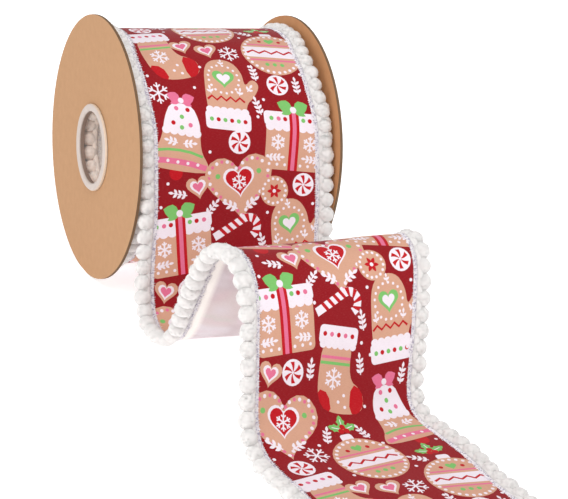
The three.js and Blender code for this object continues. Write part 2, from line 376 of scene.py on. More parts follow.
def axis_distance(mat):
    """Distance from the spool's axis, in metres."""
    at = mat.parts(mat.at())
    y = mat.math("SUBTRACT", at[1], SPOOL_MIDDLE.y)
    z = mat.math("SUBTRACT", at[2], AXIS_HEIGHT)
    squares = mat.math("ADD", mat.math("MULTIPLY", y, y), mat.math("MULTIPLY", z, z))
    return mat.math("SQRT", squares)


def bore_painted_light(mat, reach, fade):
    """Where light is painted into the shaded bore: 1 in the bore of the roll, and over a fade down to 0 at
    a reach past the innermost turn.
    """
    limit = INNERMOST_RADIUS + reach
    return mat.ramp(axis_distance(mat), limit, limit - fade)


def chipboard_material(name, light, deep):
    mat = Material(name)
    soft = mat.noise(mat.place((220, 220, 220)), 1, 3)
    fibre = mat.noise(mat.place((900, 420, 700)), 1, 4, 0.6)
    face = mat.mix(mat.ramp(soft, 0.2, 0.8), deep, light)
    face = mat.tint(face, fibre, 0.3, 0.75, 0.09, linear(180, 132, 90))
    specks = mat.noise(mat.place(), 2600, 1)
    face = mat.tint(face, specks, 0.68, 0.78, 0.3, linear(150, 104, 66))
    ply = mat.noise(mat.place((5200, 120, 120)), 1, 2)
    cut = mat.mix(ply, linear(84, 64, 48), linear(134, 106, 80))
    rim = mat.math("GREATER_THAN", axis_distance(mat), DISC_RADIUS - 0.12 * MM)
    color = mat.mix(rim, face, cut)
    mat.bump(mat.math("ADD", fibre, mat.math("MULTIPLY", soft, 0.5)), 0.02 * MM, 0.5)
    return mat.finish(color, 0.85, specular_ior_level=0.2)


def hub_material():
    """White board, with painted shade darkening the inside of the collar, and the rim's outer side
    yellower.
    """
    mat = Material("white_board")
    soft = mat.noise(mat.place(), 120, 3)
    fibre = mat.noise(mat.place((1500, 400, 400)), 1, 3)
    color = mat.mix(soft, linear(192, 179, 171), linear(203, 191, 184))
    color = mat.tint(color, fibre, 0.45, 0.8, 0.3, linear(186, 173, 164))
    at = mat.parts(mat.at())
    aside = mat.math("ABSOLUTE", mat.math("SUBTRACT", at[0], SPOOL_MIDDLE.x))
    # Painted shade: the inside of the collar, down in the bore, is coloured dark grey-brown.
    painted_collar_shade = mat.ramp(aside, DISC_SPACING / 2 + 2.7 * MM, DISC_SPACING / 2 + 2.1 * MM)
    color = mat.mix(painted_collar_shade, color, linear(134, 113, 101))
    outer_side = mat.ramp(axis_distance(mat), HUB_RADIUS - 0.35 * MM, HUB_RADIUS - 0.05 * MM)
    color = mat.mix(outer_side, color, linear(218, 199, 178))
    mat.bump(fibre, 0.04 * MM, 0.4)
    return mat.finish(color, 0.6, specular_ior_level=0.3)


def cloth_material():
    mat = Material("printed_cloth")
    flat = mat.node("UVMap", uv_map="flat").outputs[0]
    weave = mat.math("MULTIPLY", *[
        mat.math("SINE", mat.math("MULTIPLY", part, math.pi / WEAVE_PITCH))
        for part in mat.parts(flat)[:2]
    ])
    printed = mat.node("Attribute", attribute_name="print").outputs["Color"]
    uneven = mat.noise(flat, 60, 3)
    edge = mat.math("ABSOLUTE", mat.parts(flat)[1])
    band = mat.math("GREATER_THAN", edge, RIBBON_WIDTH / 2 - EDGE_BAND * MM)
    specks = mat.ramp(mat.noise(flat, 900, 1), 0.52, 0.58, 0.0, 0.7)
    color = mat.mix(mat.math("MULTIPLY", band, specks), printed, linear(158, 146, 176))
    # Painted light: the cloth in the shaded bore is coloured paler and warmer.
    color = mat.mix(bore_painted_light(mat, 2 * MM, 1 * MM), color, linear(252, 242, 232))
    color = mat.tint(color, uneven, 0.3, 0.7, 0.06, linear(110, 50, 46))
    thread = mat.noise(mat.scaled(flat, (2600, 700, 0)), 1, 2)
    color = mat.tint(color, thread, 0.5, 0.8, 0.025, linear(250, 240, 240))
    color = mat.tint(color, thread, 0.5, 0.2, 0.10, linear(70, 20, 20))
    mat.bump(mat.math("ADD", weave, mat.math("MULTIPLY", thread, 0.6)), 0.03 * MM, 0.6)
    return mat.finish(color, 0.8, sheen_weight=0.18, sheen_roughness=0.4, specular_ior_level=0.12)


def thread_material():
    mat = Material("overlock_thread")
    specks = mat.noise(mat.place(), 950, 1)
    soft = mat.noise(mat.place(), 500, 2)
    color = mat.mix(soft, linear(240, 235, 239), linear(252, 249, 250))
    color = mat.tint(color, specks, 0.54, 0.6, 0.75, linear(142, 130, 162))
    # Painted light: the thread in the shaded bore is coloured paler and warmer.
    color = mat.mix(bore_painted_light(mat, 2 * MM, 1 * MM), color, linear(252, 242, 232))
    mat.bump(mat.noise(mat.place(), 6000, 1), 0.05 * MM, 0.5)
    return mat.finish(color, 0.75, sheen_weight=0.2)


def pom_material():
    mat = Material("pom_yarn")
    soft = mat.noise(mat.place(), 350, 3)
    fibre = mat.noise(mat.place(), 2200, 4, 0.7)
    color = mat.mix(soft, linear(210, 206, 204), linear(224, 221, 219))
    # Painted bounce light: the poms in the shaded bore are coloured paler and warmer, as if lit by the
    # board and cloth around them.
    color = mat.mix(bore_painted_light(mat, 6 * MM, 2 * MM), color, linear(240, 221, 209))
    mat.bump(fibre, 0.45 * MM, 0.45)
    # The faint emission is a painted glow that lifts the shade in the creases between poms.
    return mat.finish(
        color, 1.0, sheen_weight=0.25, sheen_roughness=0.6, specular_ior_level=0.1,
        subsurface_weight=0.75, subsurface_radius=(1, 0.95, 0.95), subsurface_scale=2.6 * MM,
        emission_color=linear(255, 250, 246), emission_strength=0.05,
    )


# The print: plain Christmas cookies and sweets on a crimson ground. Outlines are in millimetres, y up.

COLORS = {
    "ground": linear(142, 15, 25),
    "tan": linear(208, 159, 134),
    "white": linear(236, 226, 234),
    "red": linear(186, 16, 28),
    "green": linear(120, 188, 104),
    "pink": linear(222, 112, 146),
    "edge": linear(246, 240, 243),
    "back": linear(211, 203, 206),
    "tape": linear(244, 238, 232),
}


def heading(angle):
    """The unit direction at an angle in radians."""
    return np.array([math.cos(angle), math.sin(angle)])


def turned_outline(outline, turn):
    """An outline turned by degrees about the origin."""
    c, s = heading(math.radians(turn))
    return outline @ np.array([[c, s], [-s, c]])


def lengths_along(path):
    """The length of a path up to each of its points."""
    return np.concatenate([[0], np.cumsum(np.linalg.norm(np.diff(path, axis=0), axis=1))])


def ellipse(x, y, rx, ry, points=14):
    t = np.linspace(0, TURN, points, endpoint=False)
    return np.column_stack([x + rx * np.cos(t), y + ry * np.sin(t)])


def dot(x, y, radius, points=10):
    return ellipse(x, y, radius, radius, points)


def heart(x, y, width, points=32):
    t = np.linspace(0, TURN, points, endpoint=False)
    px = 16 * np.sin(t) ** 3
    py = 13 * np.cos(t) - 5 * np.cos(2 * t) - 2 * np.cos(3 * t) - np.cos(4 * t)
    return np.column_stack([x + px * width / 32, y + (py + 2.5) * width / 32])


def leaf(x, y, length, width, turn):
    """A pointed leaf that grows from (x, y)."""
    side = [(0, 0), (0.3, 0.42), (0.55, 0.5), (0.8, 0.3), (1, 0)]
    outline = np.array(side + [(a, -b) for a, b in side[-2:0:-1]]) * [length, width]
    return turned_outline(outline, turn) + [x, y]


def rounded(points, rounds=2):
    """A closed outline with its corners cut off, which rounds them."""
    p = np.array(points, float)
    for _ in range(rounds):
        after = np.roll(p, -1, axis=0)
        p = np.stack([0.75 * p + 0.25 * after, 0.25 * p + 0.75 * after], axis=1).reshape(-1, 2)
    return p


def block(x0, y0, x1, y1, radius=1.6):
    """A rectangle with rounded corners."""
    left, right, low, high = x0 + radius, x1 - radius, y0 + radius, y1 - radius
    corners = []
    for i, middle in enumerate(((right, high), (left, high), (left, low), (right, low))):
        corners += [middle + radius * heading(a) for a in np.linspace(i, i + 1, 4) * math.pi / 2]
    return np.array(corners)


def stroke(path, width):
    """The outline of a line of that width along a path."""
    p = np.array(path, float)
    side = unit(np.gradient(p, axis=0))[:, ::-1] * [-1, 1] * width / 2
    return np.vstack([p + side, (p - side)[::-1]])


def sprig(x, y, turn, pairs, size):
    """White leaves in pairs along a short stem."""
    foot, stem = np.array([x, y]), heading(math.radians(turn)) * size
    layers = [("white", stroke([foot, foot + stem * (pairs + 0.6)], 0.25 * size))]
    for i in range(pairs):
        base = foot + stem * (i + 0.35)
        for lean in (-48, 48):
            layers.append(("white", leaf(*base, size * 1.25, size * 0.62, turn + lean)))
    tip = foot + stem * (pairs + 0.1)
    layers.append(("white", leaf(*tip, size * 1.3, size * 0.65, turn)))
    return layers


def beads(outline, spacing, radius, also=None):
    """White dots of icing along a closed outline, or white and another colour by turns."""
    closed = np.vstack([outline, outline[:1]])
    lengths = lengths_along(closed)
    count = max(3, round(lengths[-1] / spacing))
    return [(
        also if also and i % 2 else "white",
        dot(*point_at(closed, lengths, lengths[-1] * i / count), radius, 8),
    ) for i in range(count)]


def scallops(x0, x1, y, count):
    """A row of drops along the lower edge of icing."""
    step = (x1 - x0) / count
    return [("white", ellipse(x0 + step * (i + 0.5), y, step * 0.56, step * 0.5, 12)) for i in range(count)]


def snowflake(x, y, radius, width=0.9):
    layers = []
    middle = np.array([x, y])
    for arm in range(6):
        angle = math.radians(60 * arm + 30)
        out = heading(angle)
        fork = middle + out * radius * 0.55
        layers.append(("white", stroke([middle, middle + out * radius], width)))
        for lean in (-50, 50):
            side = heading(angle + math.radians(lean))
            layers.append(("white", stroke([fork, fork + side * radius * 0.38], width)))
    return layers


def bow(x, y, size, color):
    layers = []
    for turn in (22, 158):
        layers.append((color, leaf(x, y, size, size * 0.75, turn)))
        layers.append((color, leaf(x, y, size * 0.8, size * 0.35, -turn)))
    layers.append(("white", dot(x, y, size * 0.2)))
    return layers


def heart_cookie():
    return [
        ("tan", heart(0, 0, 41)),
        *beads(heart(0, 0, 36.5), 3.3, 1.05, also="pink"),
        ("white", heart(0, 3.5, 19)),
        ("red", heart(0, 3.5, 16)),
        *snowflake(0, 3.8, 4.6, 0.8),
        *sprig(-2.5, -11, 150, 2, 3.0),
        *sprig(2.5, -11, 30, 2, 3.0),
        ("green", dot(-12.5, 8.5, 1.5)),
        ("green", dot(12.5, 8.5, 1.5)),
    ]


def mitten_cookie():
    palm = rounded([
        (-12, -20), (10, -20), (10.5, -8), (16, -3), (20.5, 5), (16, 9.5), (11, 3),
        (10.5, 13), (5, 21.5), (-6, 21.5), (-12, 14), (-13, -2),
    ])
    zigzag = [(-12 + 2.75 * i, -6.5 + (2.4 if i % 2 else 0)) for i in range(9)]
    return [
        ("tan", palm),
        ("red", stroke(zigzag, 1.3)),
        *scallops(-13.5, 11.5, -12.5, 6),
        ("white", block(-14.5, -23.5, 12.5, -13, 2.2)),
        *[("red" if i % 2 else "green", dot(-11 + 4 * i, -18, 1.25)) for i in range(6)],
        ("green", heart(-1, 7, 13)),
        ("white", heart(-1, 7.2, 8)),
        *beads(ellipse(-1, 7.5, 9.2, 9.6), 3.4, 0.8),
        *sprig(12.5, 0.5, 55, 1, 2.4),
        *sprig(-9.5, -2.6, 100, 1, 2.2),
        *sprig(7.4, -2.6, 80, 1, 2.2),
        *sprig(-0.8, 17.4, 90, 1, 1.9),
    ]


def bell_cookie():
    body = rounded([
        (0, 21), (-6.5, 20), (-10.5, 11), (-12, -4), (-19, -12), (-19, -17),
        (19, -17), (19, -12), (12, -4), (10.5, 11), (6.5, 20),
    ])
    cap = rounded([(0, 21), (-6.5, 20), (-10.2, 11), (-11, 4.5), (11, 4.5), (10.2, 11), (6.5, 20)], 1)
    return [
        ("red", dot(0, -18.5, 4, 14)),
        ("tan", body),
        ("white", cap),
        *scallops(-11.3, 11.3, 4.6, 5),
        *[(color, dot(x, y, 1.3)) for color, x, y in (
            ("red", -5, 9), ("green", 0, 13), ("pink", 5, 9), ("pink", -3, 17.5), ("red", 3.5, 17.5),
            ("green", 0, 7),
        )],
        ("green", stroke([(-14.2, -7.5), (-7, -6), (0, -5.6), (7, -6), (14.2, -7.5)], 1.5)),
        ("pink", stroke([(-17.5, -13.5), (-8, -12.2), (0, -11.9), (8, -12.2), (17.5, -13.5)], 3.2)),
        *[("white", dot(-12 + 6 * i, -12.2, 0.95)) for i in range(5)],
        *sprig(-1.6, -1.8, 172, 2, 2.5),
        *sprig(1.6, -1.8, 8, 2, 2.5),
        *bow(0, 22.5, 8.5, "pink"),
    ]


def stocking_cookie():
    leg = rounded([
        (-10, 18), (8.5, 18), (8.5, -3), (18, -8), (19.5, -15), (15, -21), (0, -21.5), (-8, -18), (-11, -8),
    ])
    return [
        ("tan", leg),
        ("red", rounded([(11, -5), (18, -8), (19.3, -15), (15, -20.7), (9.5, -20.9)], 1)),
        ("red", rounded([(-10.7, -9), (-3, -11), (-1.5, -21.3), (-8, -18)], 1)),
        *scallops(-12, 11, 12.8, 6),
        ("white", block(-13, 13, 11.5, 22.5, 2.2)),
        *[("pink" if i % 2 else "red", dot(-9.5 + 4.4 * i, 18, 1.25)) for i in range(5)],
        ("pink", stroke([(-10, 6.8), (8.5, 6.8)], 1.5)),
        ("green", stroke([(-10.3, 3.9), (8.5, 3.9)], 1.5)),
        *snowflake(-1, -3.6, 5.6),
        *[("white", dot(x, y, 0.9)) for x, y in ((3, -15), (6.5, -11.5), (7, -17.5))],
    ]


def bauble_cookie():
    zigzag = [(-15 + 3.75 * i, 0.9 if i % 2 else -1.6) for i in range(9)]
    return [
        ("white", block(-3.5, 15, 3.5, 22)),
        ("tan", dot(0, 0, 18.5, 30)),
        *beads(dot(0, 0, 16.6, 30), 3.5, 1.0),
        ("white", block(-16.2, -5, 16.2, 4.4)),
        ("red", stroke(zigzag, 1.5)),
        ("pink", stroke([(-14, 6.8), (14, 6.8)], 1.3)),
        ("pink", stroke([(-14, -7.4), (14, -7.4)], 1.3)),
        ("green", heart(0, 10.6, 6)),
        *[("green", dot(x, -10.8, 1.3)) for x in (-4.5, 0, 4.5)],
        *[("red", dot(x, 10.5, 1.2)) for x in (-6, 6)],
    ]


def gift_cookie():
    return [
        ("tan", block(-17.5, -19, 17.5, 13, 2.6)),
        *scallops(-17.5, 17.5, 5.2, 7),
        ("white", block(-18.5, 5.5, 18.5, 14, 2.2)),
        ("red", stroke([(0, 14), (0, -19)], 6)),
        ("pink", stroke([(0, 14), (0, -19)], 2.4)),
        *[(color, dot(x, 9.8, 1.3)) for color, x in (
            ("green", -14), ("pink", -9.6), ("red", -5.6), ("green", 5.6), ("red", 9.6), ("pink", 14),
        )],
        *snowflake(-10, -3.5, 4.6),
        *snowflake(10, -3.5, 4.6),
        *sprig(-15.5, -12.4, 4, 3, 2.4),
        *sprig(15.5, -12.4, 176, 3, 2.4),
        *bow(0, 15.5, 10, "green"),
        *[("white", dot(x, -16, 0.9)) for x in (-14.5, -9.6, -4.8, 4.8, 9.6, 14.5)],
    ]


def candy_cane():
    arc = [(-1 + 5.5 * math.cos(a), 7 + 5.5 * math.sin(a)) for a in np.linspace(0, math.pi, 9)]
    path = np.array(arc + [(-6.5, 2), (-6.5, -3), (-6.5, -8), (-6.5, -13)])
    layers = [("white", stroke(path, 4.6))]
    lengths = lengths_along(path)
    for i in range(8):
        band = []
        for side, shift in ((1, 0), (1, 1.9), (-1, 3.4), (-1, 1.5)):
            s = min(0.8 + 4.1 * i + shift, lengths[-1])
            ahead = point_at(path, lengths, s + 0.5) - point_at(path, lengths, s - 0.5)
            ahead = ahead / max(np.hypot(*ahead), 1e-6)
            band.append(point_at(path, lengths, s) + side * 2.3 * ahead[::-1] * [-1, 1])
        layers.append(("red", np.array(band)))
    return layers


def peppermint():
    layers = [("white", dot(0, 0, 6.6, 20))]
    for i in range(6):
        sweep = [(r, math.radians(60 * i + 22 * r / 5.4)) for r in (0.6, 2.2, 3.8, 5.4)]
        back = [(r, a + math.radians(26)) for r, a in reversed(sweep)]
        layers.append(("red", np.array([r * heading(a) for r, a in sweep + back])))
    return layers


def holly():
    lobes = [(0, 0), (1.9, 1.2), (2.7, 2.3), (3.7, 1.8), (5.2, 2.6), (6.1, 1.6), (7.5, 1.3), (8.8, 0)]
    outline = np.array(lobes + [(a, -b) for a, b in lobes[-2:0:-1]])
    layers = []
    for turn in (18, 162, 90):
        way = heading(math.radians(turn))
        layers.append(("green", turned_outline(outline, turn)))
        layers.append(("white", stroke([1.5 * way, 6.5 * way], 0.5)))
    layers += [("red", dot(x, y, 1.7)) for x, y in ((-1.7, -0.8), (1.7, -0.8), (0, 1.8))]
    return layers


def round_cookie():
    petals = [("red", leaf(0, 0, 4.4, 2.2, 60 * i)) for i in range(6)]
    return [
        ("tan", dot(0, 0, 8.6, 22)),
        *beads(dot(0, 0, 7.0, 22), 2.9, 0.85),
        *petals,
        ("white", dot(0, 0, 1.1)),
    ]


def small_heart():
    return [
        ("tan", heart(0, 0, 14, 24)),
        ("white", heart(0, 0.2, 9.6, 20)),
        ("pink", heart(0, 0.4, 6.6, 16)),
    ]


MOTIFS = {
    "heart": heart_cookie(),
    "mitten": mitten_cookie(),
    "bell": bell_cookie(),
    "stocking": stocking_cookie(),
    "bauble": bauble_cookie(),
    "gift": gift_cookie(),
    "cane": candy_cane(),
    "peppermint": peppermint(),
    "holly": holly(),
    "flake": snowflake(0, 0, 6.5),
    "round": round_cookie(),
    "small_heart": small_heart(),
    "sprig": sprig(0, -5, 90, 3, 2.6),
    "dot": [("white", dot(0, 0, 0.95, 8))],
}

# One repeat of the print: each motif, its place across and along in millimetres, and its turn
REPEAT = 224
LAYOUT = [
    ("bell", -34, 20, -10), ("gift", -33, 76, 7), ("heart", -34, 132, -8), ("stocking", -34, 188, 8),
    ("heart", 1, 48, 6), ("stocking", 0, 104, -6), ("bauble", 1, 160, 5), ("mitten", -1, 216, -7),
    ("gift", 35, 20, -6), ("mitten", 34, 76, 9), ("bell", 35, 132, 8), ("bauble", 35, 188, -6),
    ("small_heart", -24, 47, 10), ("peppermint", -27, 104, 0), ("small_heart", -41, 105, -12),
    ("peppermint", -37, 158, 0), ("peppermint", 1, 22, 0), ("cane", 1, 74, -60),
    ("holly", 0, 135, 0), ("small_heart", -5, 187, 10), ("flake", 8, 189, 0),
    ("peppermint", 40, 47, 0), ("round", 22, 50, 0), ("holly", 35, 162, 0), ("peppermint", 31, 213, 0),
    *[("sprig", *place) for place in (
        (15.5, 101, 8), (-16, 103, -6), (-35.5, 50, 80), (24.5, 166, 55), (42.5, 214, 0), (43.5, 106, -8),
        (15.5, 2, 10), (-15.5, 58, -40), (-11, 138, -20), (10, 138, 20), (15.5, 79, 16), (18.5, 205, 0),
    )],
    ("flake", -23.5, 150, 10), ("flake", -42, 217, 0), ("small_heart", -19.5, 183, 12),
    *[("dot", w, s, 0) for w, s in (
        (-17, 27), (-12, 8), (14, 8), (18, 30), (-15, 70), (18, 62), (-20, 88), (16, 90), (-44, 90),
        (46, 92), (-17, 118), (18, 122), (-18, 143), (16, 148), (-24, 162), (19, 172), (-16, 171),
        (-13, 200), (17, 200), (22, 96), (46, 97), (-42, 44), (-46, 57), (46, 58), (-46, 148),
        (45, 152), (-46, 206), (47, 206), (-20, 214), (20, 222),
    )],
]
PRINT_START = -10  # where a repeat starts on the loose end


# The cloth's mesh: the printed stretch is cut along the outlines of its print

# Lengths here are in millimetres
CUT_BACK = 1.0  # plain ground left at the ends of the printed stretch
ROW_STEP = 3.0
OUTLINE_STEP = 4.0  # the longest line of an outline
COLUMNS = 32
TAPE = 3.6  # width of the trim's tape on the back, beside the overlocked edge
SHOW_THROUGH = 0.18  # share of the print's colour on the back
HIDDEN_LAP = 4  # printed stretch past one full turn
INNER_STEPS = 48  # rows for each hidden turn


def clipped(outline, axis, limit, keep_below):
    """The part of a closed outline on one side of a line."""
    sign = 1 if keep_below else -1
    kept = []
    for i in range(len(outline)):
        a, b = outline[i - 1], outline[i]
        inside_a, inside_b = sign * (limit - a[axis]) >= 0, sign * (limit - b[axis]) >= 0
        if inside_a != inside_b:
            t = (limit - a[axis]) / (b[axis] - a[axis])
            kept.append(a + (b - a) * t)
        if inside_b:
            kept.append(b)
    return np.array(kept).reshape(-1, 2)


def fine(outline):
    """A closed outline with points added, so that its lines follow the cloth's folds."""
    after = np.roll(outline, -1, axis=0)
    parts = []
    for a, b in zip(outline, after):
        steps = max(1, math.ceil(np.hypot(*(b - a)) / OUTLINE_STEP))
        parts.append(a + (b - a) * np.arange(steps)[:, None] / steps)
    return np.vstack(parts)


def inside(points, outline):
    """Which points lie inside a closed outline."""
    x, y = points[:, 0:1], points[:, 1:2]
    ax, ay = outline[:, 0], outline[:, 1]
    bx, by = np.roll(ax, -1), np.roll(ay, -1)
    rise = np.where(np.abs(by - ay) < 1e-12, 1e-12, by - ay)
    crossed = ((ay > y) != (by > y)) & (x < (bx - ax) * (y - ay) / rise + ax)
    return crossed.sum(axis=1) % 2 == 1


def placed_layers(first, last):
    """The outlines of the whole print between two lengths, bottom first.

    Each is (colour, outline), with the outline's points as (s, w) in millimetres.
    """
    low = math.floor((first - PRINT_START) / REPEAT) - 1
    high = math.ceil((last - PRINT_START) / REPEAT) + 1
    sides = ((0, last, True), (0, first, False), (1, BAND_LIMIT, True), (1, -BAND_LIMIT, False))
    layers = []
    for repeat in range(low, high):
        for kind, across, along, turn in LAYOUT:
            c, s = heading(math.radians(turn))
            for color, outline in MOTIFS[kind]:
                x, y = outline[:, 0], outline[:, 1]
                placed = np.column_stack([
                    PRINT_START + REPEAT * repeat + along - (s * x + c * y),
                    across + c * x - s * y,
                ])
                for side in sides:
                    placed = clipped(placed, *side)
                if len(placed) > 2:
                    layers.append((color, fine(placed)))
    return layers


def color_of(points, layers):
    """The print's colour at points of (s, w) millimetres."""
    colors = np.tile(COLORS["ground"], (len(points), 1))
    order = np.argsort(points[:, 0])
    ordered = points[order]
    for color, outline in layers:
        low, high = outline.min(axis=0), outline.max(axis=0)
        i, j = np.searchsorted(ordered[:, 0], [low[0], high[0]])
        near = order[i:j]
        near = near[(points[near, 1] >= low[1]) & (points[near, 1] <= high[1])]
        if len(near):
            colors[near[inside(points[near], outline)]] = COLORS[color]
    colors[np.abs(points[:, 1]) > BAND_LIMIT] = COLORS["edge"]
    return colors


def triangles_of(points, lines, outlines=()):
    """Points of (s, w) joined by triangles along lines and closed outlines, facing the print side."""
    points, edges = [tuple(p) for p in points], [tuple(e) for e in lines]
    for outline in outlines:
        start, count = len(points), len(outline)
        points.extend(tuple(p) for p in outline)
        edges.extend((start + i, start + (i + 1) % count) for i in range(count))
    found, _, faces, *_ = delaunay_2d_cdt([Vector(p) for p in points], edges, [], 0, 1e-4, False)
    flat, triangles = np.array([tuple(p) for p in found]), np.array([tuple(f) for f in faces])
    corner = flat[triangles]
    first, second = corner[:, 1] - corner[:, 0], corner[:, 2] - corner[:, 0]
    area = first[:, 0] * second[:, 1] - first[:, 1] * second[:, 0]
    triangles = np.where((area < 0)[:, None], triangles[:, ::-1], triangles)
    return flat, triangles[np.abs(area) > 1e-7]


def cloth_grid(rows, columns, hidden_rows, hidden_columns):
    """The points and lines of the cloth: a close grid where it shows, a wide one for the hidden turns.

    The lines run along its border and along the inner sides of its two overlocked edges.
    """
    points = [(s, w) for s in hidden_rows for w in hidden_columns] + [(s, w) for s in rows for w in columns]
    at = {p: i for i, p in enumerate(points)}
    along = hidden_rows + rows
    paths = [[(s, w) for s in along] for w in (*columns[:2], *columns[-2:])]
    paths += [[(rows[-1], w) for w in columns], [(along[0], w) for w in hidden_columns]]
    return points, [(at[a], at[b]) for path in paths for a, b in zip(path, path[1:])]


def border(flat):
    """The indices of the points round the edge of the cloth, in order."""
    s, w = flat.T
    low, high = flat.min(axis=0) + 1e-3, flat.max(axis=0) - 1e-3
    between = np.abs(w) < high[1]
    sides = (
        (w < low[1], s), (between & (s > high[0]), w), (w > high[1], -s), (between & (s < low[0]), -w),
    )
    return np.concatenate([np.where(on)[0][np.argsort(order[on])] for on, order in sides])


def back_colors(flat, layers):
    """The back's colours: off-white, with the print faintly through, and the trim's paler tape."""
    ring = [(r * math.cos(a), r * math.sin(a)) for r in (0.9, 1.9) for a in np.linspace(0, TURN, 7)[:-1]]
    near = np.mean([color_of(flat + shift, layers) for shift in ring], axis=0)
    tape = np.abs(flat[:, 1]) > BAND_LIMIT - TAPE
    share = np.where(tape, 0.0, SHOW_THROUGH)[:, None]
    plain = np.where(tape[:, None], COLORS["tape"], COLORS["back"])
    return plain * (1 - share) + near * share


def mesh_object(name, points, faces, material, smooth_faces=True):
    mesh = bpy.data.meshes.new(name)
    mesh.from_pydata(points.tolist(), [], [list(map(int, f)) for f in faces])
    mesh.materials.append(material)
    if smooth_faces:
        mesh.shade_smooth()
    return add_object(name, mesh)


def make_ribbon():
    """The whole ribbon as one closed sheet, from the innermost turn to the cut end."""
    half = round(RIBBON_WIDTH / MM / 2, 3)
    first, last = -LAP_LENGTH / MM - HIDDEN_LAP, TAIL_LENGTH / MM
    rows = np.linspace(first, last, round((last - first) / ROW_STEP) + 1).tolist()
    columns = [-half, *np.linspace(-BAND_LIMIT, BAND_LIMIT, COLUMNS - 1).tolist(), half]
    hidden_angles = np.arange(TURNS * TURN, TURN + 0.1, -TURN / INNER_STEPS)
    hidden_rows = (-np.interp(hidden_angles, WOUND_ANGLES, WOUND_LENGTHS) / MM).tolist()
    hidden_columns = [-half, columns[1], -BAND_LIMIT / 2, 0.0, BAND_LIMIT / 2, columns[-2], half]
    points, lines = cloth_grid(rows, columns, hidden_rows, hidden_columns)

    layers = placed_layers(first + CUT_BACK, last - CUT_BACK)
    flat, faces = triangles_of(points, lines, [outline for _, outline in layers])
    back_flat, back_faces = triangles_of(points, lines)

    frames = [cloth_frame(f[:, 0] * MM, f[:, 1] * MM) for f in (flat, back_flat)]
    (middle, _, _, out), (back_middle, _, _, back_out) = frames
    vertices = np.vstack([middle + out * CLOTH_THICKNESS / 2, back_middle - back_out * CLOTH_THICKNESS / 2])
    front_edge, back_edge = border(flat), border(back_flat) + len(flat)
    ahead, back_ahead = np.roll(front_edge, -1), np.roll(back_edge, -1)
    walls = np.column_stack([front_edge, back_edge, back_ahead, ahead])
    all_faces = [*faces, *(back_faces[:, ::-1] + len(flat)), *walls]
    ribbon = mesh_object("ribbon", vertices, all_faces, CLOTH)

    mesh = ribbon.data
    face_colors = color_of(flat[faces].mean(axis=1), layers)
    behind = back_colors(back_flat, layers)
    corner_colors = np.vstack([
        np.repeat(face_colors, 3, axis=0),
        behind[back_faces[:, ::-1].ravel()],
        np.tile(COLORS["edge"], (len(walls) * 4, 1)),
    ])
    colors = mesh.color_attributes.new("print", "FLOAT_COLOR", "CORNER")
    colors.data.foreach_set("color", corner_colors.astype(np.float32).ravel())
    places = np.vstack([flat, back_flat]) * MM
    corner_vertex = np.zeros(len(mesh.loops), np.int32)
    mesh.loops.foreach_get("vertex_index", corner_vertex)
    mesh.uv_layers.new(name="flat").data.foreach_set("uv", places[corner_vertex].astype(np.float32).ravel())
    mesh.normals_split_custom_set_from_vertices(np.vstack([out, -back_out]).tolist())
    return ribbon


# The overlocked edges: two looper threads in zigzags, one on each face, over the cut edge

STITCH = 1.3 * MM
STITCH_START = 0.3 * MM
STITCH_UNEVEN = (-0.2, 0.9)  # how far a stitch ends past the band's inner side, in millimetres
THREAD_RADIUS = 0.24 * MM
THREAD_SIDES = 4
YARN_STEP = 1.1 * MM
YARN_RADIUS = 1.9 * MM
YARN_SIDES = 8
YARN_ASIDE = 1.0 * MM  # from the cloth's edge to the middle of the yarn
YARN_START = 1 * MM


def merged(parts):
    """The vertices and faces of one mesh from those of its parts."""
    vertices, faces, start = [], [], 0
    for points, part_faces in parts:
        vertices.append(points)
        faces += [[start + i for i in face] for face in part_faces]
        start += len(points)
    return np.vstack(vertices), faces


def tube(points, normals, radius, sides):
    """A closed tube along points, as vertices and faces."""
    ahead = unit(np.gradient(points, axis=0))
    side = unit(np.cross(ahead, normals))
    up = np.cross(side, ahead)
    angles = np.linspace(0, TURN, sides, endpoint=False)
    ring = [points + radius * (math.cos(a) * up + math.sin(a) * side) for a in angles]
    vertices = np.stack(ring, axis=1).reshape(-1, 3)
    last = len(vertices) - sides
    faces = []
    for i in range(0, last, sides):
        pairs = [(i + k, i + (k + 1) % sides) for k in range(sides)]
        faces += [(a, b, b + sides, a + sides) for a, b in pairs]
    return vertices, [*faces, range(sides)[::-1], range(last, last + sides)]


def make_overlock(name, side):
    """Both looper threads of one edge, along the printed stretch."""
    count = int((LAP_LENGTH + TAIL_LENGTH) / STITCH)
    half = RIBBON_WIDTH / 2
    parts = []
    for face, phase in ((1, 0.0), (-1, 0.5)):
        s, w, height = [], [], []
        for i in range(count):
            start = -LAP_LENGTH + STITCH_START + (i + phase) * STITCH
            inner = half - (EDGE_BAND + RNG.uniform(*STITCH_UNEVEN)) * MM
            halfway = (inner + half) / 2
            bends = ((inner, 0.10), (halfway, 0.24), (half + 0.12 * MM, 0.05), (halfway, 0.24))
            for share, (across, lift) in zip((0, 0.25, 0.5, 0.75), bends):
                s.append(start + share * STITCH)
                w.append(side * across)
                height.append(face * (CLOTH_THICKNESS / 2 + lift * MM))
        middle, _, _, out = cloth_frame(np.minimum(s, TAIL_LENGTH), np.array(w))
        parts.append(tube(middle + out * np.array(height)[:, None], out, THREAD_RADIUS, THREAD_SIDES))
    return mesh_object(name, *merged(parts), THREAD)


